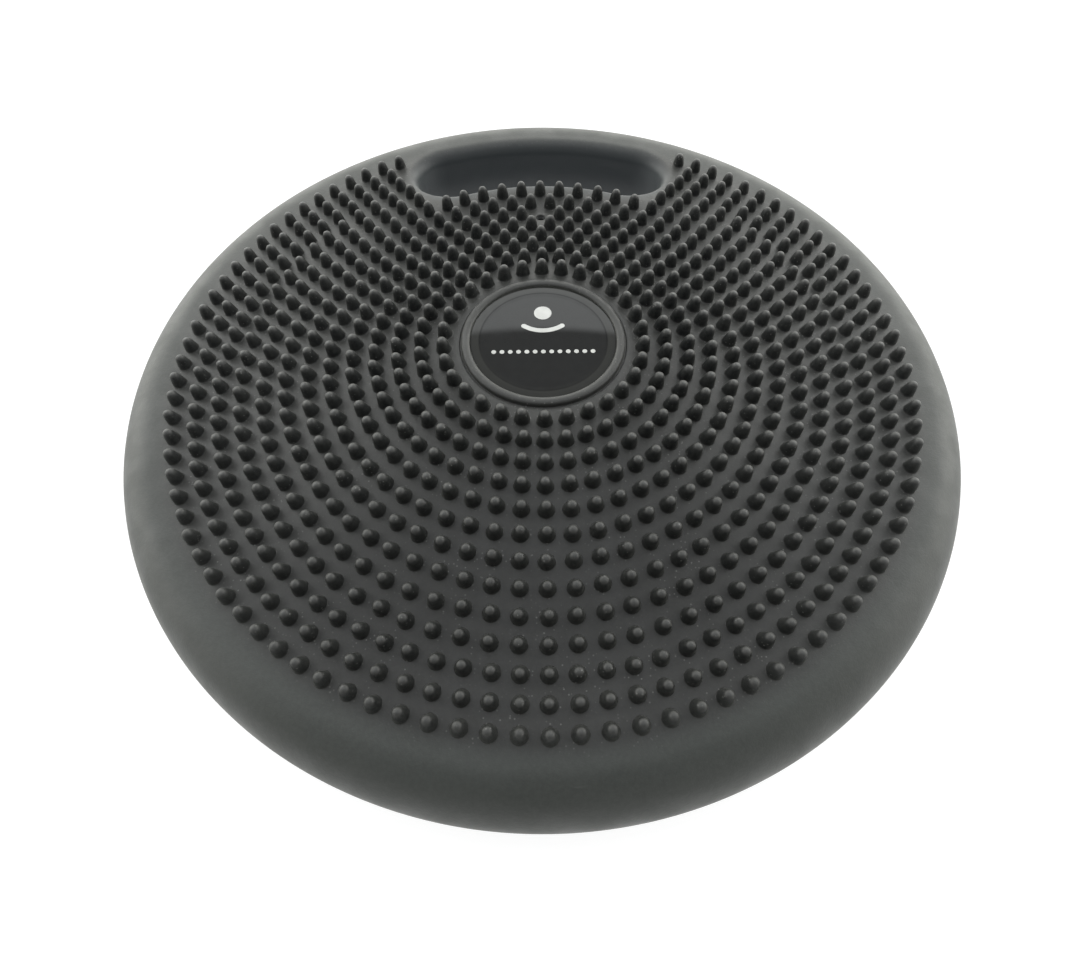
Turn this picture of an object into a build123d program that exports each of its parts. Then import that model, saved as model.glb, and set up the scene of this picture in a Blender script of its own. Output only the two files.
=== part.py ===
from build123d import *

# Wobble cushion: an inflated disc of soft PVC with massage nubs, a carry slot, a needle valve
# and a round resin badge. Millimetres, +Z up, origin on the resting plane under the disc's
# centre, carry slot towards +Y.

import os
from math import atan2, copysign, cos, degrees, hypot, pi, radians, sin, sqrt

# Body of the disc
OUTER_RADIUS = 165.0
BEAD_RADIUS = 16.0  # rounded edge of the disc
PANEL_RADIUS = OUTER_RADIUS - BEAD_RADIUS
TOP_RISE = 13.5  # bulge of the inflated top panel above the edge
BASE_BULGE = 11.5  # bulge that the underside has in the air
BASE_HEIGHT = 9.5  # what is left of it when the cushion stands on a floor
REST_RADIUS = PANEL_RADIUS * sqrt(1 - sqrt(BASE_HEIGHT / BASE_BULGE))
WALL = 3.5
TOP_SPLINE_SHARES = (0, 0.3, 0.55, 0.8, 1)  # of the panel's radius
BASE_SPLINE_SHARES = (1, 0.67, 0.33, 0)  # of the span from the flat rest area to the edge
EQUATOR_Z = BASE_HEIGHT + BEAD_RADIUS
TOP_EDGE_Z = EQUATOR_Z + BEAD_RADIUS
APEX_Z = TOP_EDGE_Z + TOP_RISE
THROUGH_HEIGHT = 2 * APEX_Z  # longer than any cut through the disc

# Massage nubs, in rings that all have one nub on the front centre line
FIRST_RING_RADIUS = 37.5
RING_PITCH = 8.6
NUBS_PER_RING = (30, 40, 45, 50, 55, 60, 65, 70, 75, 80, 90, 95, 100)
NUB_BASE_RADIUS = 2.8
NUB_TIP_RADIUS = 1.8
NUB_HEIGHT = 5.8
NUB_SEAT_GAP = 0.015  # keeps a nub's flat foot out of the curved skin

# Low bumps on the underside
FIRST_BUMP_RADIUS = 64.0
BUMP_PITCH = 12.8
BUMP_RINGS = 7
BUMP_SPACING = 12.8
BUMP_RADIUS = 3.2
BUMP_HEIGHT = 1.2

# Carry slot: a curved slot through the whole disc
SLOT_RADIUS = 122.0
SLOT_WIDTH = 35.5
SLOT_HALF_ANGLE = 19.7
SLOT_LIP_RADIUS = 2.0
NUB_TO_SLOT = 5.0  # least distance from a nub's axis to the slot's edge

# Needle valve, in the place of the rearmost nub of one ring
VALVE_RING = 5
VALVE_Y = FIRST_RING_RADIUS + VALVE_RING * RING_PITCH
BOSS_RADIUS = 10.5
BOSS_DEPTH = 5.0  # from the outer face of the skin to the boss's inner face
PORT_RADIUS = 2.1
THROAT_RADIUS = 1.4
FLANGE_RADIUS = 9.5
FLANGE_THICKNESS = 1.5
HOUSING_RADIUS = 6.0
HOUSING_LENGTH = 13.0
CORE_RADIUS = 4.5
CORE_LENGTH = 11.0
AIR_HOLE_RADIUS = 1.2
AIR_HOLE_DEPTH = 25.0  # from the boss's inner face, past the housing's foot
NEEDLE_CHANNEL_RADIUS = 0.5
NEEDLE_CHANNEL_DEPTH = 7.0
DIMPLE_RADIUS = 1.3
DIMPLE_DEPTH = 1.0

# Badge: adhesive, printed film and resin dome in a round seat with a raised ring
SEAT_RADIUS = 27.8
SEAT_Z = APEX_Z - 1.2
BEZEL_RADIUS = 29.4
BEZEL_HALF_WIDTH = 1.75
BEZEL_HEIGHT = 1.5
BADGE_RADIUS = 27.5
ADHESIVE_THICKNESS = 0.15
FILM_THICKNESS = 0.2
PRINT_THICKNESS = 0.1
RESIN_THICKNESS = 1.9
RESIN_EDGE_HEIGHT = 0.4
RESIN_EDGE_TANGENT = (-0.2, 1)
RESIN_TANGENT_PULL = (0.12, 1.7)  # keeps the dome's top nearly flat up to its rounded rim
FILM_Z = SEAT_Z + ADHESIVE_THICKNESS
PRINT_Z = FILM_Z + FILM_THICKNESS

# Emblem on the badge: a ball over a rocker, and a row of dots
BALL_Y = 13.5
BALL_RADIUS = 3.4
ROCKER_Y = 17.0
ROCKER_RADIUS = 12.5
ROCKER_WIDTH = 2.0
ROCKER_HALF_ANGLE = 36.0
DOT_ROW_Y = -6.0
DOT_COUNT = 13
DOT_SPACING = 3.1
DOT_RADIUS = 0.9


def panel_shape(radius):
    """Deflection of a clamped round panel: 1 at its centre, 0 at its edge."""
    return (1 - (radius / PANEL_RADIUS) ** 2) ** 2


def panel_steepness(radius):
    """Slope of panel_shape, as a positive number."""
    share = radius / PANEL_RADIUS
    return 4 * share * (1 - share**2) / PANEL_RADIUS


def top_z(radius):
    return TOP_EDGE_Z + TOP_RISE * panel_shape(radius)


def base_z(radius):
    return max(0.0, BASE_HEIGHT - BASE_BULGE * panel_shape(radius))


def disc_section(inset):
    """Half section of the disc, with its outline moved inwards by inset."""
    bead = BEAD_RADIUS - inset
    top_radii = [PANEL_RADIUS * share for share in TOP_SPLINE_SHARES]
    rest_span = PANEL_RADIUS - REST_RADIUS
    base_radii = [REST_RADIUS + rest_span * share for share in BASE_SPLINE_SHARES]
    with BuildSketch(Plane.XZ) as section:
        with BuildLine():
            Spline([(r, top_z(r) - inset) for r in top_radii], tangents=[(1, 0), (1, 0)])
            ThreePointArc(
                (PANEL_RADIUS, TOP_EDGE_Z - inset),
                (PANEL_RADIUS + bead, EQUATOR_Z),
                (PANEL_RADIUS, BASE_HEIGHT + inset),
            )
            base_slope = BASE_BULGE * panel_steepness(REST_RADIUS)
            Spline(
                [(r, base_z(r) + inset) for r in base_radii],
                tangents=[(-1, 0), (-1, -base_slope)],
            )
            Polyline((REST_RADIUS, inset), (0, inset), (0, APEX_Z - inset))
        make_face()
    return section.sketch


def slot_outline(growth=0.0):
    """Curved slot, wider all round by growth."""
    with BuildSketch() as outline:
        start_angle = 90 - SLOT_HALF_ANGLE
        centre_line = CenterArc((0, 0), SLOT_RADIUS, start_angle, 2 * SLOT_HALF_ANGLE)
        SlotArc(centre_line, SLOT_WIDTH + 2 * growth)
    return outline.sketch


def clear_of_slot(x, y):
    """True where a nub has room beside the carry slot."""
    azimuth = degrees(atan2(x, y))
    if abs(azimuth) <= SLOT_HALF_ANGLE:
        distance = abs(hypot(x, y) - SLOT_RADIUS)
    else:
        end = radians(copysign(SLOT_HALF_ANGLE, azimuth))
        distance = hypot(x - SLOT_RADIUS * sin(end), y - SLOT_RADIUS * cos(end))
    return distance > SLOT_WIDTH / 2 + NUB_TO_SLOT


def skin_plane(radius, angle, height, steepness, side):
    """Plane on the skin, with its normal pointing out of the disc (side 1 is up, -1 down)."""
    across = Vector(-sin(angle), cos(angle), 0)
    normal = Vector(steepness * cos(angle), steepness * sin(angle), side)
    return Plane((radius * cos(angle), radius * sin(angle), height), across, normal)


def nub_planes():
    planes = []
    for ring, count in enumerate(NUBS_PER_RING):
        radius = FIRST_RING_RADIUS + ring * RING_PITCH
        for step in range(count):
            angle = radians(-90 + 360 * step / count)
            x, y = radius * cos(angle), radius * sin(angle)
            valve_place = ring == VALVE_RING and 2 * step == count
            if clear_of_slot(x, y) and not valve_place:
                steepness = TOP_RISE * panel_steepness(radius)
                planes.append(skin_plane(radius, angle, top_z(radius), steepness, 1))
    return planes


def bump_planes():
    planes = []
    for ring in range(BUMP_RINGS):
        radius = FIRST_BUMP_RADIUS + ring * BUMP_PITCH
        count = round(2 * pi * radius / BUMP_SPACING)
        for step in range(count):
            angle = radians(-90 + 360 * step / count)
            if clear_of_slot(radius * cos(angle), radius * sin(angle)):
                steepness = BASE_BULGE * panel_steepness(radius)
                planes.append(skin_plane(radius, angle, base_z(radius), steepness, -1))
    return planes


VALVE_PLANE = skin_plane(
    VALVE_Y, radians(90), top_z(VALVE_Y), TOP_RISE * panel_steepness(VALVE_Y), 1
)

# The skin's hollow: the sealed air space, with the wall of the carry slot standing through it
with BuildPart() as air_space:
    add(disc_section(WALL))
    revolve(axis=Axis.Z)
    add(slot_outline(WALL))
    extrude(amount=THROUGH_HEIGHT, mode=Mode.SUBTRACT)
    with BuildSketch(VALVE_PLANE.offset(-BOSS_DEPTH)):
        Circle(BOSS_RADIUS)
    extrude(amount=BOSS_DEPTH, mode=Mode.SUBTRACT)

# Skin: one hollow moulding with the carry slot, the badge's seat and ring, and the valve's boss
with BuildPart() as bladder:
    add(disc_section(0))
    revolve(axis=Axis.Z)
    add(slot_outline())
    extrude(amount=THROUGH_HEIGHT, mode=Mode.SUBTRACT)
    slot_walls = bladder.faces().filter_by(GeomType.CYLINDER)
    fillet(slot_walls.edges().filter_by(GeomType.LINE, reverse=True), SLOT_LIP_RADIUS)
    with BuildSketch(Plane.XZ):
        with Locations((BEZEL_RADIUS, top_z(BEZEL_RADIUS))):
            Ellipse(BEZEL_HALF_WIDTH, BEZEL_HEIGHT)
    revolve(axis=Axis.Z)
    with BuildSketch(Plane.XY.offset(SEAT_Z)):
        Circle(SEAT_RADIUS)
    extrude(amount=THROUGH_HEIGHT, mode=Mode.SUBTRACT)
    add(air_space.part, mode=Mode.SUBTRACT)
    with BuildSketch(VALVE_PLANE):
        Circle(PORT_RADIUS)
    with BuildSketch(VALVE_PLANE.offset(-BOSS_DEPTH)):
        Circle(THROAT_RADIUS)
    loft(mode=Mode.SUBTRACT)
bladder.part.label = "bladder"

# One nub: a slender cone with a round tip
with BuildPart() as nub:
    tip_z = NUB_HEIGHT - NUB_TIP_RADIUS
    with Locations((0, 0, NUB_SEAT_GAP)):
        Cone(
            NUB_BASE_RADIUS,
            NUB_TIP_RADIUS,
            tip_z - NUB_SEAT_GAP,
            align=(Align.CENTER, Align.CENTER, Align.MIN),
        )
    with Locations((0, 0, tip_z)):
        Sphere(NUB_TIP_RADIUS)

# One bump of the underside: the cap of a ball
with BuildPart() as bump:
    ball_radius = (BUMP_RADIUS**2 + BUMP_HEIGHT**2) / (2 * BUMP_HEIGHT)
    with Locations((0, 0, BUMP_HEIGHT - ball_radius)):
        Sphere(ball_radius)
    split(bisect_by=Plane.XY.offset(NUB_SEAT_GAP))

nub_solids = [plane.location * nub.part.solid() for plane in nub_planes()]
nubs = Compound(label="massage_nubs", children=nub_solids)
bump_solids = [plane.location * bump.part.solid() for plane in bump_planes()]
bumps = Compound(label="base_bumps", children=bump_solids)

# Valve housing: a flanged cup bonded under the skin's boss, open to the air space at its foot
with BuildPart() as valve_housing:
    with BuildSketch(VALVE_PLANE.offset(-BOSS_DEPTH)):
        Circle(FLANGE_RADIUS)
    extrude(amount=-FLANGE_THICKNESS)
    with BuildSketch(VALVE_PLANE.offset(-BOSS_DEPTH)):
        Circle(HOUSING_RADIUS)
    extrude(amount=-HOUSING_LENGTH)
    with BuildSketch(VALVE_PLANE.offset(-BOSS_DEPTH)):
        Circle(CORE_RADIUS)
    extrude(amount=-CORE_LENGTH, mode=Mode.SUBTRACT)
    with BuildSketch(VALVE_PLANE.offset(-BOSS_DEPTH)):
        Circle(AIR_HOLE_RADIUS)
    extrude(amount=-AIR_HOLE_DEPTH, mode=Mode.SUBTRACT)
valve_housing.part.label = "valve_housing"

# Valve core: a self-sealing rubber plug. Its channel ends blind, because rubber closes the rest.
with BuildPart() as valve_core:
    with BuildSketch(VALVE_PLANE.offset(-BOSS_DEPTH)):
        Circle(CORE_RADIUS)
    extrude(amount=-CORE_LENGTH)
    with BuildSketch(VALVE_PLANE.offset(-BOSS_DEPTH)):
        Circle(DIMPLE_RADIUS)
    with BuildSketch(VALVE_PLANE.offset(-BOSS_DEPTH - DIMPLE_DEPTH)):
        Circle(NEEDLE_CHANNEL_RADIUS)
    loft(mode=Mode.SUBTRACT)
    with BuildSketch(VALVE_PLANE.offset(-BOSS_DEPTH)):
        Circle(NEEDLE_CHANNEL_RADIUS)
    extrude(amount=-NEEDLE_CHANNEL_DEPTH, mode=Mode.SUBTRACT)
valve_core.part.label = "valve_core"

with BuildPart() as badge_adhesive:
    with BuildSketch(Plane.XY.offset(SEAT_Z)):
        Circle(BADGE_RADIUS)
    extrude(amount=ADHESIVE_THICKNESS)
badge_adhesive.part.label = "badge_adhesive"

with BuildPart() as badge_film:
    with BuildSketch(Plane.XY.offset(FILM_Z)):
        Circle(BADGE_RADIUS)
    extrude(amount=FILM_THICKNESS)
badge_film.part.label = "badge_film"

# White print on the film
with BuildPart() as badge_print:
    with BuildSketch(Plane.XY.offset(PRINT_Z)):
        with Locations((0, BALL_Y)):
            Circle(BALL_RADIUS)
        with Locations((0, ROCKER_Y)):
            rocker_arc = CenterArc((0, 0), ROCKER_RADIUS, -90 - ROCKER_HALF_ANGLE, 2 * ROCKER_HALF_ANGLE)
            SlotArc(rocker_arc, ROCKER_WIDTH)
        with Locations((0, DOT_ROW_Y)):
            with GridLocations(DOT_SPACING, 0, DOT_COUNT, 1):
                Circle(DOT_RADIUS)
    extrude(amount=PRINT_THICKNESS)
badge_print.part.label = "badge_print"

# Clear resin dome, cast over the film and the print
with BuildPart() as badge_dome:
    with BuildSketch(Plane.XZ):
        with BuildLine():
            edge_z = PRINT_Z + RESIN_EDGE_HEIGHT
            Polyline((0, PRINT_Z), (BADGE_RADIUS, PRINT_Z), (BADGE_RADIUS, edge_z))
            Spline(
                [(BADGE_RADIUS, edge_z), (0, PRINT_Z + RESIN_THICKNESS)],
                tangents=[RESIN_EDGE_TANGENT, (-1, 0)],
                tangent_scalars=RESIN_TANGENT_PULL,
            )
            Line((0, PRINT_Z + RESIN_THICKNESS), (0, PRINT_Z))
        make_face()
    revolve(axis=Axis.Z)
    add(badge_print.part, mode=Mode.SUBTRACT)
badge_dome.part.label = "badge_dome"

os.makedirs("parts", exist_ok=True)
export_step(bladder.part, "parts/bladder.step")
export_step(nubs, "parts/massage_nubs.step")
export_step(bumps, "parts/base_bumps.step")
export_step(valve_housing.part, "parts/valve_housing.step")
export_step(valve_core.part, "parts/valve_core.step")
export_step(badge_adhesive.part, "parts/badge_adhesive.step")
export_step(badge_film.part, "parts/badge_film.step")
export_step(badge_print.part, "parts/badge_print.step")
export_step(badge_dome.part, "parts/badge_dome.step")
print("nubs", len(nubs.children), "bumps", len(bumps.children), "apex", APEX_Z)
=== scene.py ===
import math

import bpy
import numpy as np
from mathutils import Matrix, Vector
from mathutils.geometry import delaunay_2d_cdt


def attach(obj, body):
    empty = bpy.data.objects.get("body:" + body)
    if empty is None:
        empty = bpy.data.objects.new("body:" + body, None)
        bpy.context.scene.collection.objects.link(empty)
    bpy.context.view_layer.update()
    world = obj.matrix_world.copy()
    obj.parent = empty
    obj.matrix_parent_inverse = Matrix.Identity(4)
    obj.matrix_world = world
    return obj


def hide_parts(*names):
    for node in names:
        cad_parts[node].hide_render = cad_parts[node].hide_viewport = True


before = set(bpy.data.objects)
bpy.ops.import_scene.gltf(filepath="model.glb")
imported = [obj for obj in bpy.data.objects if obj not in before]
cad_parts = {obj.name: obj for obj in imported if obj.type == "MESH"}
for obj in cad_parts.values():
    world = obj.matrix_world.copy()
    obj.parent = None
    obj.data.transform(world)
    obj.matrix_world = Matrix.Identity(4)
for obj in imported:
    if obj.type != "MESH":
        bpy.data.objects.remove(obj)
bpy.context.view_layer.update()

MM = 0.001
RNG = np.random.default_rng(7)

# ------------------------------------------------------------ shape, millimetres
OUTER_R = 165.0
BEAD_R = 16.0                   # round of the rim
PANEL_R = OUTER_R - BEAD_R      # where the top and the underside end and the rim begins
TOP_RISE = 13.5
BASE_BULGE = 11.5
BASE_HEIGHT = 9.5
EQUATOR_Z = BASE_HEIGHT + BEAD_R
TOP_EDGE_Z = EQUATOR_Z + BEAD_R
APEX_Z = TOP_EDGE_Z + TOP_RISE

# Rings of nubs on the top. A profile lists radius and height, from the foot up.
FIRST_RING_R = 37.5
RING_PITCH = 8.6
NUBS_PER_RING = (30, 40, 45, 50, 55, 60, 65, 70, 75, 80, 90, 95, 100)
NUB_SIDES = 16
NUB_HEIGHT = 5.7
NUB_PROFILE = (
    (3.02, -0.02), (2.80, 0.08), (2.70, 0.35), (2.58, 1.20), (2.38, 2.30),
    (2.16, 3.30), (1.93, 4.15), (1.66, 4.75), (1.25, 5.25), (0.68, 5.58),
)
NUB_WIDTH = 1.05                # times the profile's, on the first ring
NUB_WIDTH_LOSS = 0.006          # from each ring to the next
NUB_LENGTH = 1.05               # times the profile's, on the first ring
NUB_LENGTH_LOSS = 0.0075
NUB_LENGTH_SPREAD = 0.012       # differences from nub to nub
NUB_PLACE_SPREAD = 0.10
NUB_TILT_SPREAD = 0.018
NUB_TO_SLOT = 5.0               # nearer to the slot than this there are no nubs or bumps

# Rings of low bumps on the underside
FIRST_BUMP_R = 64.0
BUMP_PITCH = 12.8
BUMP_RINGS = 7
BUMP_SIDES = 14
BUMP_HEIGHT = 1.2
BUMP_PROFILE = ((3.9, -0.02), (3.3, 0.12), (2.6, 0.55), (1.8, 0.92), (0.9, 1.14))

# Carry slot
SLOT_R = 122.0
SLOT_HALF_WIDTH = 17.75
SLOT_HALF_ANGLE = math.radians(19.7)
FRONT_LIP = 1.7                 # round of its upper edge on the badge side
REAR_LIP = 5.8                  # and on the rim side
BASE_LIP = 2.5
WALL_BULGE = 0.9                # how far the air pushes its wall inwards

# Needle port, in the place of one nub
VALVE_RING = 5
VALVE_Y = FIRST_RING_R + VALVE_RING * RING_PITCH
PORT_R = 2.1
PORT_LIP = 0.5
THROAT_R = 1.4
BOSS_DEPTH = 5.0

# Badge, its seat and the raised ring round it
SEAT_R = 27.8
SEAT_Z = APEX_Z - 1.2
SEAT_ROUND = 0.15
BEZEL_R = 29.4
BEZEL_HALF = 1.75
BEZEL_H = 1.5
BEZEL_START = 158.0             # degrees round the ring's section, where it meets the seat's wall
BADGE_R = 27.5
PRINT_Z = SEAT_Z + 0.35
DOME_FLAT_R = 24.0
DOME_H = 1.9
DOME_FALL = 0.16                # from the middle of the dome to the edge of its flat top
DOME_EDGE = (
    (24.8, 1.71), (25.4, 1.66), (26.1, 1.57), (26.6, 1.44), (27.0, 1.24), (27.3, 0.92),
    (BADGE_R, 0.55), (BADGE_R, 0.0),
)
DOME_RIPPLES = ((0.010, 3, 0.35), (0.006, 5, -0.22))    # height, waves round the dome, twist per mm

# How the air settles the skin
LEAN = 2.77                     # the top rises by this in front and falls by it behind
LEAN_START = 31.8               # just outside the badge's ring
LEAN_END = (84.0, 108.0)        # the fall behind fades out between these radii, towards the slot
RIM_LIFT = 2.8                  # the front of the rim rises too, most a little to the right
RIM_LIFT_WAY = (0.342, -0.940)
RIM_LIFT_R = 143.0
RIM_LIFT_WIDTH = 17.0
RIM_LIFT_END = (148.0, OUTER_R)
BACK_SPREAD = 1.2               # how far the rim is pushed out behind
FRONT_SPREAD = 0.5              # and in front
SPREAD_START = (141.0, 153.0)
SETTLE_DEPTH = (4.0, 34.0)      # below the top the rise and fall fade out between these depths
PORT_SETTLE_DEPTH = (0.3, BOSS_DEPTH - 0.4)

# Meshing
AROUND = 360                    # points on a whole ring
PORT_SIDES = 32
DOME_SIDES = 144
SLOT_RIM_POINTS = 58
SLOT_BADGE_POINTS = 44
SLOT_END_POINTS = 26
SLOT_STEPS = 12                 # across the band beside the slot, and down its wall
BAND = 8.0                      # width of the skin that is meshed along the slot's edge
HUB_R = 2.0
SEAT_LOOPS = (12.0, 22.0)
PORT_PATCH_R = 74.0             # the port's patch runs from here
SLOT_PATCH_R = 88.0             # to here, and the slot's patch from here to the rim
PORT_PITCH = 1.75
SLOT_PITCH = 2.4
PORT_CLEAR = 1.0
SLOT_CLEAR = 1.4

# Painted light and shade on the skin: 0 is painted shade, 1 a painted highlight; it also sets the sheen and
# specular level
PAINTED_SHADE_HOLLOW = 0.0                # a nub's side, and inside the port
PAINTED_LIGHT_SKIN = 0.5
PAINTED_LIGHT_BEZEL = 0.68
PAINTED_HIGHLIGHT_TIP = 1.0


def panel_shape(r):
    return (1 - np.minimum(r / PANEL_R, 1.0) ** 2) ** 2


def steepness(r):
    """Fall of panel_shape per mm."""
    s = r / PANEL_R
    return 4 * s * (1 - s * s) / PANEL_R


def bead_height(r):
    """Height of the rim's round over its own middle."""
    return np.sqrt(np.maximum(BEAD_R ** 2 - np.maximum(r - PANEL_R, 0) ** 2, 0))


def top_z(r):
    return TOP_EDGE_Z + TOP_RISE * panel_shape(r) + (bead_height(r) - BEAD_R)


def base_z(r):
    return np.maximum(0.0, BASE_HEIGHT - BASE_BULGE * panel_shape(r)) + (BEAD_R - bead_height(r))


def smoothstep(a, b, x):
    t = np.clip((x - a) / (b - a), 0, 1)
    return t * t * (3 - 2 * t)


def settle(points):
    """Moves the skin as the air does: its top up in front of the badge and down between badge and slot,
    the front of its rim up, and its rim out in front and behind."""
    x, y, z = points.T
    r = np.maximum(np.hypot(x, y), 1e-6)
    share = np.clip((r - LEAN_START) / (PANEL_R - LEAN_START), 0, 1) ** 0.8
    lift = -LEAN * np.sin(np.pi * share) ** 1.5 * y / r
    held = smoothstep(*LEAN_END, r) * smoothstep(0.2, 0.9, y / r)
    lift *= np.where(y > 0, 1 - held, 1)
    facing = np.clip((RIM_LIFT_WAY[0] * x + RIM_LIFT_WAY[1] * y) / r, 0, 1)
    near_rim = np.exp(-((r - RIM_LIFT_R) / RIM_LIFT_WIDTH) ** 2) * (1 - smoothstep(*RIM_LIFT_END, r))
    lift += RIM_LIFT * near_rim * facing ** 2
    spread = np.where(y > 0, BACK_SPREAD, FRONT_SPREAD) * (y / r) ** 2 * smoothstep(*SPREAD_START, r) / r
    near_port = np.hypot(x, y - VALVE_Y) < PORT_R + 0.01
    depth = top_z(r) - z
    fade = np.where(near_port, smoothstep(*PORT_SETTLE_DEPTH, depth), smoothstep(*SETTLE_DEPTH, depth))
    return points + np.column_stack([spread * x, spread * y, lift * (1 - fade)])


# ------------------------------------------------------------ mesh helpers
class Sheet:
    """Vertices and faces gathered for one mesh, in millimetres. Each vertex also has its painted light and
    shade, as above, and its wall, which is 1 in the slot and 0 away from it and paints the slot paler."""

    def __init__(self):
        self.verts = []
        self.faces = []
        self.painted_light = []
        self.wall = []
        self.count = 0

    def add(self, points, painted_light=PAINTED_LIGHT_SKIN, wall=0.0):
        points = np.asarray(points, float)
        self.verts.append(points)
        self.painted_light.append(np.full(len(points), float(painted_light)))
        self.wall.append(np.full(len(points), float(wall)))
        first = self.count
        self.count += len(points)
        return np.arange(first, self.count)

    def strip(self, a, b, flip=False):
        """Quads between two closed loops of as many vertices."""
        n = len(a)
        for i in range(n):
            j = (i + 1) % n
            quad = (a[i], a[j], b[j], b[i])
            self.faces.append(quad[::-1] if flip else quad)

    def strips(self, loops, flip=False):
        for a, b in zip(loops, loops[1:]):
            self.strip(a, b, flip)

    def fan(self, point, loop, flip=False, painted_light=PAINTED_LIGHT_SKIN):
        """Triangles between a loop and a new vertex in its middle."""
        centre = self.add([point], painted_light)[0]
        n = len(loop)
        for i in range(n):
            tri = (centre, loop[i], loop[(i + 1) % n])
            self.faces.append(tri[::-1] if flip else tri)

    def rings(self, radii, heights, start, painted_light=PAINTED_LIGHT_SKIN):
        """Whole rings from the ring start on, each joined to the one before it. Gives the last one."""
        loop = start
        for r, z in zip(radii, heights):
            ring = self.add(circle(r, AROUND, z), painted_light)
            self.strip(loop, ring, flip=True)
            loop = ring
        return loop

    def mesh(self, name):
        mesh = bpy.data.meshes.new(name)
        places = np.concatenate(self.verts) * MM
        mesh.from_pydata([tuple(p) for p in places], [], [tuple(int(i) for i in f) for f in self.faces])
        mesh.update()
        for attribute, values in (("painted_light", self.painted_light), ("wall", self.wall)):
            layer = mesh.attributes.new(attribute, "FLOAT", "POINT")
            layer.data.foreach_set("value", np.concatenate(values))
        return mesh


def around(n, phase=0.0):
    """Angles of n points round a whole turn."""
    return phase + np.arange(n) * 2 * math.pi / n


def circle(r, n, z, phase=0.0):
    """A level ring round the upright axis. r and z are one number each, or one for each point."""
    a = around(n, phase)
    return np.stack([r * np.cos(a), r * np.sin(a), np.broadcast_to(z, a.shape)], 1)


def tilted_circle(centre, u, v, r, n, phase=0.0):
    a = around(n, phase)
    return centre + r * (np.cos(a)[:, None] * u + np.sin(a)[:, None] * v)


def slot_loop(grown):
    """Outline of the slot grown by that much, and how far round it each point lies: 0 on the badge side,
    1 on the rim side. It runs anticlockwise seen from above. Angles are from +Y towards +X."""
    half = SLOT_HALF_WIDTH + grown
    points = []
    side = []

    def arc(r, start, count, share):
        for k in range(count):
            angle = start * (1 - 2 * k / count)
            points.append((r * math.sin(angle), r * math.cos(angle)))
            side.append(share)

    def end(way):
        """The round end on the -X side, where way is -1, or on the +X side, where it is 1."""
        angle = way * SLOT_HALF_ANGLE
        radial = np.array((math.sin(angle), math.cos(angle)))
        along = way * np.array((math.cos(angle), -math.sin(angle)))
        for k in range(SLOT_END_POINTS):
            turn = math.pi * k / SLOT_END_POINTS
            out = -way * math.cos(turn)
            points.append(SLOT_R * radial + half * (out * radial + math.sin(turn) * along))
            side.append(0.5 + 0.5 * out)

    arc(SLOT_R + half, SLOT_HALF_ANGLE, SLOT_RIM_POINTS, 1.0)
    end(-1)
    arc(SLOT_R - half, -SLOT_HALF_ANGLE, SLOT_BADGE_POINTS, 0.0)
    end(1)
    return np.array(points), np.array(side)


def port_loop(grown):
    return circle(PORT_R + grown, PORT_SIDES, 0)[:, :2] + (0, VALVE_Y)


def to_slot(x, y):
    """Distance from the slot's edge, negative inside the slot."""
    angle = np.arctan2(x, y)
    end = np.clip(angle, -SLOT_HALF_ANGLE, SLOT_HALF_ANGLE)
    past_end = np.hypot(x - SLOT_R * np.sin(end), y - SLOT_R * np.cos(end))
    beside = np.abs(np.hypot(x, y) - SLOT_R)
    return np.where(np.abs(angle) <= SLOT_HALF_ANGLE, beside, past_end) - SLOT_HALF_WIDTH


def clear_of_slot(x, y):
    return to_slot(x, y) > BAND + SLOT_CLEAR


def lip_drop(radius, t):
    """How far the skin round an opening, its edge rounded to radius, has dropped at t from the opening."""
    short = np.clip(radius - t, 0, None)
    return radius - np.sqrt(np.maximum(radius ** 2 - short ** 2, 0))


def lifted(xy, height):
    """Points in plan, raised to height(r)."""
    return np.column_stack([xy, height(np.hypot(xy[:, 0], xy[:, 1]))])


def inside(p, loop):
    """Whether p lies within a closed loop, by how many of its edges are crossed on the way out along +X."""
    x, y = loop.T
    next_x, next_y = np.roll(loop, -1, axis=0).T
    rise = np.where(next_y == y, 1e-12, next_y - y)
    crossing = (next_x - x) * (p.y - y) / rise + x
    crossed = ((y > p.y) != (next_y > p.y)) & (p.x < crossing)
    return bool(crossed.sum() % 2)


def fill_annulus(sheet, inner, outer, radii, hole, hole_xy, clear, height, pitch, flip):
    """Triangulates the skin in plan between two rings and round a hole, and lifts it to height(r).
    clear(x, y) keeps the points that fill it away from the hole."""
    r_in, r_out = radii
    coords = []
    owner = []
    edges = []

    def put_loop(xy, ids):
        first = len(coords)
        coords.extend(map(tuple, xy))
        owner.extend(ids)
        edges.extend((first + i, first + (i + 1) % len(ids)) for i in range(len(ids)))

    put_loop(circle(r_in, AROUND, 0)[:, :2], inner)
    put_loop(circle(r_out, AROUND, 0)[:, :2], outer)
    put_loop(hole_xy, hole)
    rows = round((r_out - r_in) / pitch)
    filling = []
    for k in range(1, rows):
        r = r_in + (r_out - r_in) * k / rows
        ring = circle(r, AROUND, 0, phase=(k % 2) * math.pi / AROUND)
        filling.extend(ring[clear(ring[:, 0], ring[:, 1])][:, :2])
    filling = np.array(filling)
    coords.extend(map(tuple, filling))
    owner.extend(sheet.add(lifted(filling, height)))
    verts, _, faces, orig, _, _ = delaunay_2d_cdt([Vector(c) for c in coords], edges, [], 0, 1e-7)
    for face in faces:
        a, b, c = (verts[i] for i in face)
        within_inner_ring = all(orig[i][0] < AROUND for i in face)
        if within_inner_ring or inside((a + b + c) / 3, hole_xy):
            continue
        tri = [int(owner[orig[i][0]]) for i in face]
        anticlockwise = (b - a).cross(c - a) > 0
        sheet.faces.append(tuple(tri[::-1] if anticlockwise == flip else tri))


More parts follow.
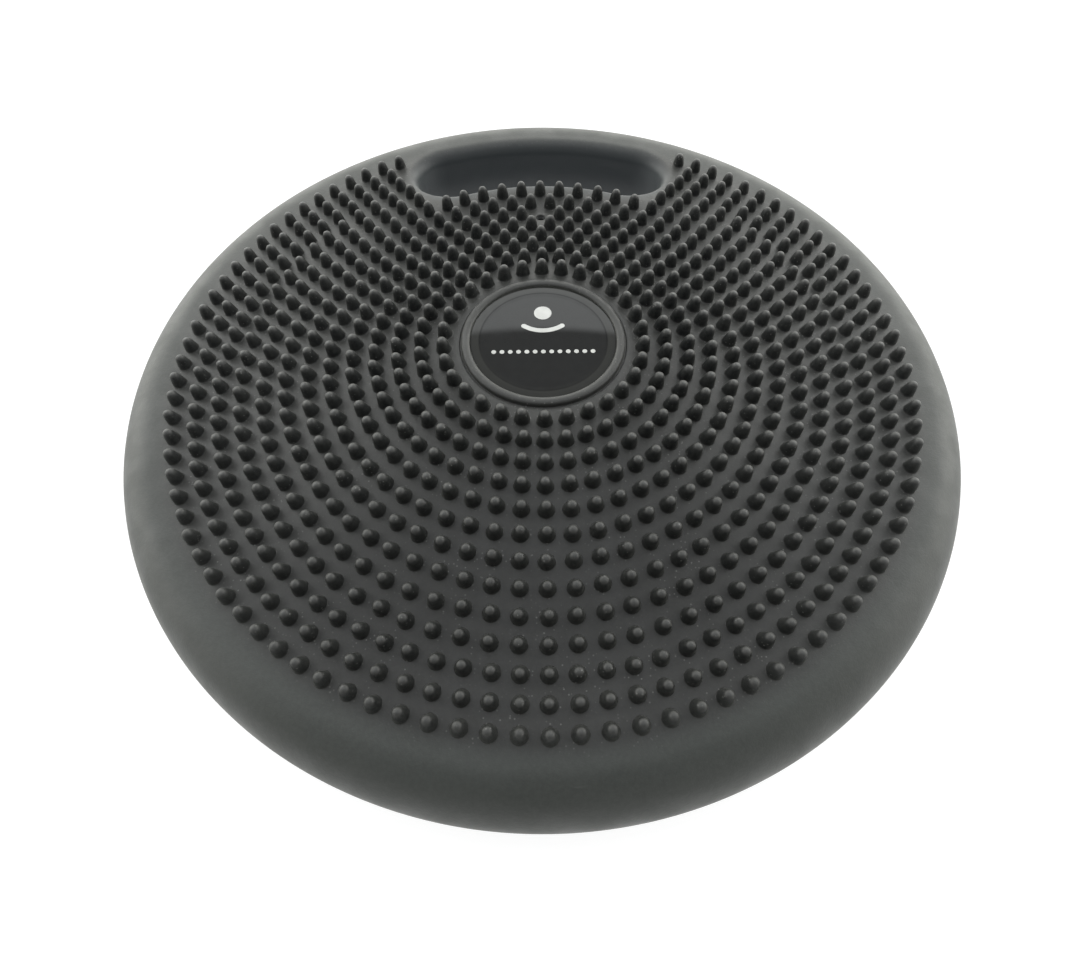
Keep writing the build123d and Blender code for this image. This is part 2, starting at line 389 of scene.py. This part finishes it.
# ------------------------------------------------------------ the skin
def bezel_profile():
    """From the foot of the badge's seat, up the seat's wall, over the raised ring and down to the skin."""
    points = [(SEAT_R - SEAT_ROUND, SEAT_Z), (SEAT_R, SEAT_Z + SEAT_ROUND)]
    points.append((SEAT_R, top_z(SEAT_R) + 0.45 * BEZEL_H))
    steps = 12
    for k in range(1, steps):
        turn = math.radians(BEZEL_START * (1 - k / steps))
        height = BEZEL_H * math.sin(turn) ** 0.7
        points.append((BEZEL_R + BEZEL_HALF * math.cos(turn), top_z(BEZEL_R) + height))
    # The foot, and the groove round it
    foot = BEZEL_R + BEZEL_HALF
    points.append((foot, top_z(BEZEL_R) - 0.1))
    points.append((foot + 0.04, top_z(foot) - 0.45))
    points.append((foot + 0.32, top_z(foot + 0.3) - 0.5))
    points.append((foot + 0.62, top_z(foot + 0.6) - 0.12))
    points.append((foot + 0.95, top_z(foot + 0.95)))
    return points


def badge_seat(skin):
    """Floor of the seat, the raised ring and the skin as far as the port's patch. Gives the last ring."""
    hub = skin.add(circle(HUB_R, AROUND, SEAT_Z))
    skin.fan((0, 0, SEAT_Z), hub)
    loop = skin.rings(SEAT_LOOPS, [SEAT_Z] * len(SEAT_LOOPS), hub)
    profile = bezel_profile()
    loop = skin.rings(*zip(*profile), loop, PAINTED_LIGHT_BEZEL)
    radii = np.linspace(profile[-1][0], PORT_PATCH_R, 20)[1:]
    return skin.rings(radii, top_z(radii), loop)


def port_tube(skin, mouth):
    """Inside of the needle port, narrowing downwards square to the skin."""
    lean = math.atan(TOP_RISE * steepness(VALVE_Y))
    normal = np.array((0, math.sin(lean), math.cos(lean)))
    across = np.array((0, math.cos(lean), -math.sin(lean)))
    centre = np.array((0, VALVE_Y, top_z(VALVE_Y)))
    loops = [mouth]
    for depth in (1.0, 2.2, 3.6, BOSS_DEPTH - 0.02):
        r = PORT_R + (THROAT_R - PORT_R) * depth / BOSS_DEPTH
        ring = tilted_circle(centre - depth * normal, np.array((1, 0, 0)), across, r, PORT_SIDES)
        loops.append(skin.add(ring, PAINTED_SHADE_HOLLOW))
    skin.strips(loops)


def port_patch(skin, inner):
    """Skin round the needle port, from the ring inner out. Gives its outer ring."""
    outer = skin.add(circle(SLOT_PATCH_R, AROUND, top_z(SLOT_PATCH_R)))
    steps = (0.0, 0.12, 0.3, 0.55, 0.9, 1.4)
    loops = []
    for t in steps:
        points = lifted(port_loop(t), top_z)
        loops.append(skin.add(points - (0, 0, lip_drop(PORT_LIP, t))))
    skin.strips(loops, flip=True)
    port_tube(skin, loops[0])

    def clear_of_port(x, y):
        return np.hypot(x, y - VALVE_Y) > PORT_R + steps[-1] + PORT_CLEAR

    fill_annulus(skin, inner, outer, (PORT_PATCH_R, SLOT_PATCH_R), loops[-1], port_loop(steps[-1]),
                 clear_of_port, top_z, PORT_PITCH, flip=False)
    return outer


def top_lip(side):
    return FRONT_LIP + (REAR_LIP - FRONT_LIP) * smoothstep(0.05, 1.0, side)


def base_lip(side):
    return np.full(side.shape, BASE_LIP)


def slot_patch(skin, inner, outer, height, lip, upper):
    """Skin round the carry slot between two rings, on the top or the underside. Gives the slot's edge."""
    loops = []
    for k in range(SLOT_STEPS + 1):
        t = BAND * (k / SLOT_STEPS) ** 2
        xy, side = slot_loop(t)
        drop = lip_drop(lip(side), t)
        points = lifted(xy, height)
        points[:, 2] -= drop if upper else -drop
        # The wall value carries the slot's painted light over the lip, fading out away from the opening
        loops.append(skin.add(points, wall=(1 - min(t / REAR_LIP, 1)) ** 1.3))
    skin.strips(loops, flip=upper)
    fill_annulus(skin, inner, outer, (SLOT_PATCH_R, PANEL_R), loops[-1], xy,
                 clear_of_slot, height, SLOT_PITCH, flip=not upper)
    return loops[0]


def rim(skin, start):
    """The rounded edge, from the top's last ring to the underside's."""
    steps = 30
    turns = [math.radians(90 - 180 * k / steps) for k in range(1, steps + 1)]
    radii = [PANEL_R + BEAD_R * math.cos(a) for a in turns]
    return skin.rings(radii, [EQUATOR_Z + BEAD_R * math.sin(a) for a in turns], start)


def slot_wall(skin, upper, lower):
    """Wall of the slot, from its upper edge down to its lower one. The air pushes it in a little."""
    places = np.concatenate(skin.verts)
    outward = (slot_loop(0.5)[0] - slot_loop(0.0)[0]) / 0.5
    loops = [upper]
    for k in range(1, SLOT_STEPS):
        share = k / SLOT_STEPS
        points = places[upper] * (1 - share) + places[lower] * share
        points[:, :2] -= outward * WALL_BULGE * math.sin(math.pi * share) ** 2
        loops.append(skin.add(points, wall=1.0))
    skin.strips(loops + [lower])


# ------------------------------------------------------------ nubs and bumps
def add_knob(skin, axes, profile, height, sides, stretch=1.0, phase=0.0):
    """One moulded knob. axes holds its place, the two directions across it, and its own axis."""
    place, u, v, w = axes
    loops = []
    for r, h in profile:
        up = h / height
        foot = 1 - min(up / 0.10, 1)
        # Painted shade on the knob's side above its foot, and a painted highlight towards its tip
        painted_light = PAINTED_LIGHT_SKIN * foot + smoothstep(0.84, 1.04, up)
        rise = h * (stretch if h > 0.3 else 1.0)
        loops.append(skin.add(tilted_circle(place + rise * w, u, v, r, sides, phase), painted_light))
    skin.strips(loops)
    skin.fan(place + height * stretch * w, loops[-1], painted_light=PAINTED_HIGHLIGHT_TIP)
    skin.faces.append(tuple(loops[0][::-1]))


def axes_at(r, angle, z, slope, upward):
    """Place and axes of a knob that stands square to the skin, on the top (upward 1) or under it (-1)."""
    radial = np.array((math.cos(angle), math.sin(angle), 0.0))
    u = np.array((-math.sin(angle), math.cos(angle), 0.0))
    w = radial * slope + np.array((0, 0, upward))
    w /= np.linalg.norm(w)
    return radial * r + np.array((0, 0, z)), u, np.cross(w, u), w


def ring_angle(k, count):
    """Where knob k of a ring of count stands, counted from the front."""
    return math.radians(-90 + 360 * k / count)


def add_nubs(skin):
    for ring, count in enumerate(NUBS_PER_RING):
        r = FIRST_RING_R + ring * RING_PITCH
        width = NUB_WIDTH - NUB_WIDTH_LOSS * ring
        profile = [(across * width, h) for across, h in NUB_PROFILE]
        for k in range(count):
            angle = ring_angle(k, count)
            jitter = RNG.normal(0, 1, 5)
            in_port = ring == VALVE_RING and 2 * k == count
            if in_port or to_slot(r * math.cos(angle), r * math.sin(angle)) <= NUB_TO_SLOT:
                continue
            place, u, v, w = axes_at(r, angle, top_z(r), TOP_RISE * steepness(r), 1)
            place = place + NUB_PLACE_SPREAD * (jitter[0] * u + jitter[1] * v)
            w = w + NUB_TILT_SPREAD * (jitter[2] * u + jitter[3] * v)
            w /= np.linalg.norm(w)
            stretch = NUB_LENGTH - NUB_LENGTH_LOSS * ring + NUB_LENGTH_SPREAD * jitter[4]
            add_knob(skin, (place, u, v, w), profile, NUB_HEIGHT, NUB_SIDES, stretch, angle)


def add_base_bumps(skin):
    for ring in range(BUMP_RINGS):
        r = FIRST_BUMP_R + ring * BUMP_PITCH
        count = round(2 * math.pi * r / BUMP_PITCH)
        for k in range(count):
            angle = ring_angle(k, count)
            if to_slot(r * math.cos(angle), r * math.sin(angle)) <= NUB_TO_SLOT:
                continue
            axes = axes_at(r, angle, base_z(r), BASE_BULGE * steepness(r), -1)
            add_knob(skin, axes, BUMP_PROFILE, BUMP_HEIGHT, BUMP_SIDES)


def cushion_sheet():
    """The whole moulding: top, rim, underside, slot, port, nubs and bumps."""
    skin = Sheet()
    port_ring = badge_seat(skin)
    patch_ring = port_patch(skin, port_ring)
    top_ring = skin.add(circle(PANEL_R, AROUND, top_z(PANEL_R)))
    upper = slot_patch(skin, patch_ring, top_ring, top_z, top_lip, upper=True)
    base_ring = rim(skin, top_ring)
    patch_ring = skin.add(circle(SLOT_PATCH_R, AROUND, base_z(SLOT_PATCH_R)))
    lower = slot_patch(skin, patch_ring, base_ring, base_z, base_lip, upper=False)
    radii = np.linspace(SLOT_PATCH_R, HUB_R, 34)[1:]
    skin.fan((0, 0, 0), skin.rings(radii, base_z(radii), patch_ring), flip=True)
    slot_wall(skin, upper, lower)
    add_nubs(skin)
    add_base_bumps(skin)
    skin.verts = [settle(points) for points in skin.verts]
    return skin


def dome_sheet():
    """The badge's turned resin dome: a nearly flat top, slightly uneven, and a rounded edge."""
    dome = Sheet()
    steps = 24
    shares = [k / steps for k in range(1, steps + 1)]
    top = [(DOME_FLAT_R * share, DOME_H - DOME_FALL * share ** 2) for share in shares]
    angles = around(DOME_SIDES)
    loops = []
    for r, h in (*top, *DOME_EDGE):
        ripple = sum(size * np.sin(waves * angles + r * twist) for size, waves, twist in DOME_RIPPLES)
        ripple = ripple * min(r / 12, 1) * (h > 0.6)
        loops.append(dome.add(circle(r, DOME_SIDES, PRINT_Z + h + ripple)))
    dome.fan((0, 0, PRINT_Z + DOME_H), loops[0])
    dome.strips(loops, flip=True)
    return dome


def make_object(sheet, name, sharp_angle=None):
    mesh = sheet.mesh(name)
    piece = bpy.data.objects.new(name, mesh)
    bpy.context.scene.collection.objects.link(piece)
    mesh.shade_smooth()
    if sharp_angle:
        mesh.set_sharp_from_angle(angle=sharp_angle)
    return piece


# ------------------------------------------------------------ node helpers
def new_material(name):
    material = bpy.data.materials.new(name)
    material.use_nodes = True
    material.node_tree.nodes.clear()
    return material, material.node_tree


def node(tree, kind, values=None, **properties):
    made = tree.nodes.new(kind)
    for key, value in properties.items():
        setattr(made, key, value)
    for key, value in (values or {}).items():
        made.inputs[key].default_value = value
    return made


def finish(tree, shader, kind="ShaderNodeOutputMaterial"):
    tree.links.new(shader.outputs[0], node(tree, kind).inputs["Surface"])


def object_coords(tree):
    return node(tree, "ShaderNodeTexCoord").outputs["Object"]


def split_xyz(tree, vector):
    parts = node(tree, "ShaderNodeSeparateXYZ")
    tree.links.new(vector, parts.inputs["Vector"])
    return parts.outputs


def ramp(tree, source, low, high, low_value=0.0, high_value=1.0):
    """A smooth step from low_value, where source is at low, to high_value, where it is at high."""
    values = {"From Min": low, "From Max": high, "To Min": low_value, "To Max": high_value}
    step = node(tree, "ShaderNodeMapRange", values, interpolation_type="SMOOTHSTEP")
    tree.links.new(source, step.inputs["Value"])
    return step.outputs["Result"]


def math_node(tree, operation, a, b=0.0):
    made = node(tree, "ShaderNodeMath", operation=operation)
    for i, value in enumerate((a, b)):
        if isinstance(value, float):
            made.inputs[i].default_value = value
        else:
            tree.links.new(value, made.inputs[i])
    return made.outputs[0]


def times(tree, a, b):
    return math_node(tree, "MULTIPLY", a, b)


def mix_colour(tree, factor, a, b):
    mix = node(tree, "ShaderNodeMix", data_type="RGBA")
    tree.links.new(factor, mix.inputs["Factor"])
    for socket, value in ((mix.inputs[6], a), (mix.inputs[7], b)):
        if isinstance(value, tuple):
            socket.default_value = (*value, 1.0)
        else:
            tree.links.new(value, socket)
    return mix.outputs[2]


def mix_level(tree, factor, a, b):
    mix = node(tree, "ShaderNodeMix", data_type="FLOAT")
    tree.links.new(factor, mix.inputs["Factor"])
    tree.links.new(a, mix.inputs["A"])
    if isinstance(b, float):
        mix.inputs["B"].default_value = b
    else:
        tree.links.new(b, mix.inputs["B"])
    return mix.outputs[0]


def noise(tree, coords, scale, detail=2.0, rough=0.5, stretch=None):
    if stretch:
        mapping = node(tree, "ShaderNodeMapping", {"Scale": stretch})
        tree.links.new(coords, mapping.inputs["Vector"])
        coords = mapping.outputs["Vector"]
    texture = node(tree, "ShaderNodeTexNoise", {"Scale": scale, "Detail": detail, "Roughness": rough})
    tree.links.new(coords, texture.inputs["Vector"])
    return texture.outputs["Fac"]


def specks(tree, coords, per_metre, share, size):
    """Small round dots in some of the cells of a 3-D grid, 1 inside a dot."""
    cells = node(tree, "ShaderNodeTexVoronoi", {"Scale": per_metre, "Randomness": 1.0})
    tree.links.new(coords, cells.inputs["Vector"])
    parts = node(tree, "ShaderNodeSeparateColor")
    tree.links.new(cells.outputs["Color"], parts.inputs["Color"])
    near = ramp(tree, cells.outputs["Distance"], size, size * 0.55)
    return times(tree, near, math_node(tree, "LESS_THAN", parts.outputs[0], share))


def fade(tree, source, span):
    """Smoothly from 1 where source is at the first of span, or below it, to 0 at the second."""
    return ramp(tree, source, span[1], span[0])


def plan_radius(tree, coords):
    """Distance from the object's upright axis, metres."""
    flat = node(tree, "ShaderNodeVectorMath", {1: (1.0, 1.0, 0.0)}, operation="MULTIPLY")
    tree.links.new(coords, flat.inputs[0])
    length = node(tree, "ShaderNodeVectorMath", operation="LENGTH")
    tree.links.new(flat.outputs[0], length.inputs[0])
    return length.outputs["Value"]


def bump(tree, height, distance, strength, under=None):
    made = node(tree, "ShaderNodeBump", {"Strength": strength, "Distance": distance})
    tree.links.new(height, made.inputs["Height"])
    if under:
        tree.links.new(under, made.inputs["Normal"])
    return made.outputs["Normal"]


# ------------------------------------------------------------ materials, metres
# Colours of the skin's PVC, of the mottling, wear and dust on it, and of the painted light and shade on it
NUB_SIDE_SHADE_BLACK = (0.0060, 0.0070, 0.0078)
SKIN_CHARCOAL = (0.0218, 0.0219, 0.0204)
TIP_HIGHLIGHT_GREY = (0.041, 0.042, 0.041)
CLOUD_GREY = (0.040, 0.0415, 0.039)
MOTTLE_GREY = (0.041, 0.042, 0.039)
SCUFF_GREY = (0.10, 0.10, 0.096)
RIM_PAINTED_LIGHT_GREY = (0.0330, 0.0430, 0.0380)
FRONT_SHADE_BLACK = (0.007, 0.007, 0.0065)
SIDE_LIGHT_GREY = (0.055, 0.056, 0.054)
TIP_BACK_HIGHLIGHT_GREY = (0.085, 0.088, 0.087)
DUST_WHITE = (0.42, 0.42, 0.40)
SLOT_PAINTED_LIGHT_GREY = (0.035, 0.041, 0.045)

# Colours of the badge, and the greys of the painted reflection on the resin's rolled edge
RESIN_EDGE_REFLECTION_GREY = (0.040, 0.040, 0.037)
RESIN_EDGE_PAINTED_GREY = (0.040, 0.041, 0.037)
FILM_BLACK = (0.012, 0.012, 0.012)
PRINT_WHITE = (0.52, 0.52, 0.505)

# Where the looks change, as distances from the upright axis
NUB_FIELD_END = (0.138, 0.150)
EDGE_BAND_START = (0.0242, 0.0248)
EDGE_LINE_START = (0.0238, 0.0241)
EDGE_LINE_END = (0.0244, 0.0247)
EDGE_GREY_START = (0.0239, 0.0245)
EDGE_GREY_END = (0.0267, 0.0272)


def dust_share(tree, coords):
    """Fine pale dust lying in patches, and a few coarser grains."""
    patches = ramp(tree, noise(tree, coords, scale=75.0, detail=2.0, rough=0.6), 0.42, 0.68, 0.03, 0.20)
    dust = times(tree, specks(tree, coords, per_metre=760.0, share=0.42, size=0.26), patches)
    grit = times(tree, specks(tree, coords, per_metre=260.0, share=0.008, size=0.08), 0.36)
    return math_node(tree, "MAXIMUM", dust, grit)


def skin_colour(tree, coords, painted_light):
    """Charcoal with its mottling, wear and dust, painted shade on the nubs' sides and in the port, painted
    highlights on the nubs' tips, painted shade over the front of the nubs' field and painted light on its
    sides and on the rim.
    """
    place = split_xyz(tree, coords)
    # 1 among the nubs, above and below, and 0 on the rim
    field = fade(tree, plan_radius(tree, coords), NUB_FIELD_END)
    # Painted shade on the nubs' sides and in the port, painted highlights on the nubs' tips, and painted
    # light on the raised ring round the badge
    colour = mix_colour(tree, ramp(tree, painted_light, 0.0, 0.5), NUB_SIDE_SHADE_BLACK, SKIN_CHARCOAL)
    colour = mix_colour(tree, ramp(tree, painted_light, 0.5, 1.0), colour, TIP_HIGHLIGHT_GREY)
    # Mottling, and scuffs that run along X
    cloud = noise(tree, coords, scale=28.0, detail=4.0, rough=0.6)
    colour = mix_colour(tree, ramp(tree, cloud, 0.33, 0.70, 0.0, 0.25), colour, CLOUD_GREY)
    mottle = noise(tree, coords, scale=700.0, detail=3.0, rough=0.7)
    colour = mix_colour(tree, ramp(tree, mottle, 0.32, 0.70, 0.0, 0.50), colour, MOTTLE_GREY)
    scuff = noise(tree, coords, scale=60.0, detail=5.0, rough=0.65, stretch=(1.0, 5.0, 5.0))
    colour = mix_colour(tree, ramp(tree, scuff, 0.66, 0.80, 0.0, 0.30), colour, SCUFF_GREY)
    # Painted light on the rim, a little paler; painted shade over the nubs' field in front, and painted
    # light on it at the sides
    colour = mix_colour(tree, ramp(tree, field, 0.0, 1.0, 0.28, 0.0), colour, RIM_PAINTED_LIGHT_GREY)
    front_shade = ramp(tree, place["Y"], -0.02, -0.10, 0.0, 0.38)
    colour = mix_colour(tree, times(tree, front_shade, field), colour, FRONT_SHADE_BLACK)
    side_light = ramp(tree, math_node(tree, "ABSOLUTE", place["X"]), 0.04, 0.12, 0.0, 0.20)
    colour = mix_colour(tree, times(tree, side_light, field), colour, SIDE_LIGHT_GREY)
    # Painted highlights on the nubs' tips, palest in the middle and behind
    highlight_behind = ramp(tree, place["Y"], -0.09, 0.02, 0.0, 0.80)
    colour = mix_colour(tree, times(tree, ramp(tree, painted_light, 0.75, 1.0), highlight_behind), colour, TIP_BACK_HIGHLIGHT_GREY)
    return mix_colour(tree, times(tree, dust_share(tree, coords), field), colour, DUST_WHITE)


def skin_material():
    """Matte charcoal PVC with slight waves and a fine moulded grain."""
    material, tree = new_material("pvc_charcoal")
    coords = object_coords(tree)
    painted_light = node(tree, "ShaderNodeAttribute", attribute_name="painted_light").outputs["Fac"]
    wall = node(tree, "ShaderNodeAttribute", attribute_name="wall").outputs["Fac"]
    shader = node(tree, "ShaderNodeBsdfPrincipled", {
        "Sheen Roughness": 0.45, "Sheen Tint": (0.93, 0.95, 0.84, 1.0), "IOR": 1.5,
    })
    gloss = noise(tree, coords, scale=90.0, detail=3.0, rough=0.6)
    waves = noise(tree, coords, scale=55.0, detail=2.0, rough=0.5)
    grain = noise(tree, coords, scale=1500.0, detail=2.0, rough=0.6)
    relief = bump(tree, waves, distance=0.0012, strength=0.35)
    relief = bump(tree, grain, distance=0.00012, strength=0.45, under=relief)
    # Painted light: the slot's wall and the lips round it painted paler and bluer
    colour = mix_colour(tree, wall, skin_colour(tree, coords, painted_light), SLOT_PAINTED_LIGHT_GREY)
    tree.links.new(colour, shader.inputs["Base Color"])
    tree.links.new(ramp(tree, gloss, 0.3, 0.7, 0.44, 0.54), shader.inputs["Roughness"])
    tree.links.new(ramp(tree, painted_light, 0.0, 0.5, 0.040, 0.080), shader.inputs["Sheen Weight"])
    tree.links.new(ramp(tree, painted_light, 0.0, 0.5, 0.24, 0.42), shader.inputs["Specular IOR Level"])
    tree.links.new(relief, shader.inputs["Normal"])
    finish(tree, shader)
    return material


def plain_material(name, low, high, scale, roughness, grain, specular=0.5):
    """Two close tones of one colour, with a fine grain in the bump."""
    material, tree = new_material(name)
    coords = object_coords(tree)
    tone = ramp(tree, noise(tree, coords, scale, detail=3.0), 0.35, 0.65)
    shine = ramp(tree, noise(tree, coords, scale * 2.3), 0.3, 0.7, roughness - 0.05, roughness + 0.05)
    relief = bump(tree, noise(tree, coords, scale * 6), distance=grain, strength=0.4)
    shader = node(tree, "ShaderNodeBsdfPrincipled", {"IOR": 1.5, "Specular IOR Level": specular})
    tree.links.new(mix_colour(tree, tone, low, high), shader.inputs["Base Color"])
    tree.links.new(shine, shader.inputs["Roughness"])
    tree.links.new(relief, shader.inputs["Normal"])
    finish(tree, shader)
    return material


def gloss_material(name, colour):
    """Print or film, with the mirror of the resin's flat top, which lies straight on it. Under the resin's
    rolled edge a greyer band is painted on, a painted reflection of that edge, with a thin line inside it
    that mirrors less."""
    material, tree = new_material(name)
    coords = object_coords(tree)
    radius = plan_radius(tree, coords)
    tone = ramp(tree, noise(tree, coords, scale=300.0, detail=3.0), 0.35, 0.65)
    haze = ramp(tree, noise(tree, coords, scale=120.0, detail=3.0, rough=0.6), 0.40, 0.70, 0.012, 0.035)
    line = times(tree, ramp(tree, radius, *EDGE_LINE_START), fade(tree, radius, EDGE_LINE_END))
    # Painted reflection of the resin's rolled edge, as a greyer band
    edge_reflection = ramp(tree, radius, *EDGE_BAND_START, 0.0, 0.40)
    darker = tuple(0.9 * part for part in colour)
    tinted = mix_colour(tree, edge_reflection, mix_colour(tree, tone, darker, colour), RESIN_EDGE_REFLECTION_GREY)
    shader = node(tree, "ShaderNodeBsdfPrincipled", {"IOR": 1.5})
    tree.links.new(tinted, shader.inputs["Base Color"])
    tree.links.new(haze, shader.inputs["Roughness"])
    tree.links.new(ramp(tree, line, 0.0, 1.0, 0.32, 0.20), shader.inputs["Specular IOR Level"])
    finish(tree, shader)
    return material


def resin_material():
    """Clear resin, its rolled edge mixed a little towards a rough grey, a painted reflection of that edge.
    The film under its flat middle carries the mirror there.
    """
    material, tree = new_material("resin_clear")
    coords = object_coords(tree)
    radius = plan_radius(tree, coords)
    # Painted reflection: the rough grey mixed over the rolled edge
    edge_grey = node(tree, "ShaderNodeBsdfPrincipled", {
        "Base Color": (*RESIN_EDGE_PAINTED_GREY, 1), "Roughness": 0.6, "IOR": 1.5, "Specular IOR Level": 0.1,
    })
    clear = node(tree, "ShaderNodeBsdfTransparent", {"Color": (0.99, 0.995, 0.99, 1)})
    cloud = ramp(tree, noise(tree, coords, scale=160.0, detail=3.0, rough=0.6), 0.35, 0.65, 0.06, 0.12)
    edge_reflection = times(tree, ramp(tree, radius, *EDGE_GREY_START), fade(tree, radius, EDGE_GREY_END))
    mix = node(tree, "ShaderNodeMixShader")
    tree.links.new(times(tree, cloud, edge_reflection), mix.inputs["Fac"])
    tree.links.new(clear.outputs[0], mix.inputs[1])
    tree.links.new(edge_grey.outputs[0], mix.inputs[2])
    finish(tree, mix)
    return material


# ------------------------------------------------------------ pieces
cushion = make_object(cushion_sheet(), "cushion_skin", sharp_angle=math.radians(50))
cushion.data.materials.append(skin_material())
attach(cushion, "root")
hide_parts("bladder", "massage_nubs", "base_bumps")

resin = make_object(dome_sheet(), "badge_resin_dome")
resin.data.materials.append(resin_material())
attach(resin, "root")
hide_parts("badge_dome")

# The CAD's other pieces keep their shapes and get these materials
adhesive = plain_material("adhesive_pale", (0.50, 0.50, 0.47), (0.62, 0.62, 0.58),
                          scale=350.0, roughness=0.60, grain=0.00004)
rubber = plain_material("rubber_black", (0.006, 0.006, 0.007), (0.012, 0.012, 0.013),
                        scale=200.0, roughness=0.65, grain=0.00006, specular=0.25)
FINISHES = {
    "badge_film": gloss_material("film_black", FILM_BLACK),
    "badge_print": gloss_material("print_white", PRINT_WHITE),
    "badge_adhesive": adhesive,
    "valve_housing": rubber,
    "valve_core": rubber,
}
for name, material in FINISHES.items():
    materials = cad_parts[name].data.materials
    materials.clear()
    materials.append(material)


# ------------------------------------------------------------ floor, light, camera, metres
FLOOR_HALF = 8.0

# The studio's light comes from all round, and its level changes between these heights of a direction,
# where 0 is the horizon and 1 is straight up.
BAND_START = (0.721, 0.730)
CEILING_START = (0.86, 0.96)
WARM = (1.0, 1.0, 0.950)
COOL = (0.975, 1.0, 1.022)
WHITE = (1.0, 1.0, 1.0)

TARGET = Vector((0, -69.6, APEX_Z)) * MM
DISTANCE = 205.1 * MM
ELEVATION = math.radians(61.74)
YAW = math.radians(-1.278)
ROLL = math.radians(-0.388)
SENSOR_WIDTH = 36.0
LENS = 21.00667
SHIFT = (-0.0057407, 0.0187037)


def white_floor():
    """Plain floor that glows a little, so that it stays nearly white under the object."""
    s = FLOOR_HALF
    mesh = bpy.data.meshes.new("floor")
    mesh.from_pydata([(-s, -s, 0), (s, -s, 0), (s, s, 0), (-s, s, 0)], [], [(0, 1, 2, 3)])
    floor = bpy.data.objects.new("floor", mesh)
    bpy.context.scene.collection.objects.link(floor)
    material, tree = new_material("floor_white")
    finish(tree, node(tree, "ShaderNodeBsdfPrincipled", {
        "Base Color": (0.31, 0.31, 0.31, 1), "Roughness": 0.9, "Specular IOR Level": 0.1,
        "Emission Color": (1, 1, 1, 1), "Emission Strength": 0.80,
    }))
    mesh.materials.append(material)
    return floor


def studio_world():
    """Low walls, brightest behind the object, a dim band above them, and over that a ceiling that is
    brighter to the back and the sides. What the camera sees past the floor is plain white."""
    world = bpy.data.worlds.new("studio")
    world.use_nodes = True
    tree = world.node_tree
    tree.nodes.clear()
    way = split_xyz(tree, node(tree, "ShaderNodeTexCoord").outputs["Generated"])
    sideways = math_node(tree, "ABSOLUTE", way["X"])
    walls = times(tree, ramp(tree, way["Y"], -0.60, 0.50, 0.48, 3.3),
                  ramp(tree, sideways, 0.0, 0.9, 0.86, 1.25))
    band = ramp(tree, way["Y"], -0.35, 0.35, 0.36, 0.54)
    ceiling = times(tree, ramp(tree, way["Y"], -0.05, 0.42, 1.25, 2.35),
                    ramp(tree, sideways, 0.05, 0.35, 1.0, 1.25))
    seen = node(tree, "ShaderNodeLightPath").outputs["Is Camera Ray"]
    level = mix_level(tree, ramp(tree, way["Z"], *BAND_START), walls, band)
    level = mix_level(tree, ramp(tree, way["Z"], *CEILING_START), level, ceiling)
    level = mix_level(tree, seen, level, 1.0)
    tint = mix_colour(tree, ramp(tree, way["Z"], 0.2, 0.9), WARM, COOL)
    tint = mix_colour(tree, seen, tint, WHITE)
    sky = node(tree, "ShaderNodeBackground")
    tree.links.new(tint, sky.inputs["Color"])
    tree.links.new(level, sky.inputs["Strength"])
    finish(tree, sky, "ShaderNodeOutputWorld")
    return world


def studio_camera():
    """Camera that looks down on the object from the front."""
    level = math.cos(ELEVATION)
    back = Vector((math.sin(YAW) * level, -math.cos(YAW) * level, math.sin(ELEVATION)))
    right = Vector((0, 0, 1)).cross(back).normalized()
    up = back.cross(right)
    rolled_right = math.cos(ROLL) * right - math.sin(ROLL) * up
    rolled_up = math.sin(ROLL) * right + math.cos(ROLL) * up
    data = bpy.data.cameras.new("camera")
    data.sensor_width = SENSOR_WIDTH
    data.lens = LENS
    data.shift_x, data.shift_y = SHIFT
    data.clip_start = 0.01
    data.clip_end = 50.0
    camera = bpy.data.objects.new("camera", data)
    turn = Matrix((rolled_right, rolled_up, back)).transposed().to_4x4()
    camera.matrix_world = Matrix.Translation(TARGET + back * DISTANCE) @ turn
    bpy.context.scene.collection.objects.link(camera)
    return camera


white_floor()
bpy.context.scene.world = studio_world()
bpy.context.scene.view_settings.view_transform = "Standard"
bpy.context.scene.camera = studio_camera()
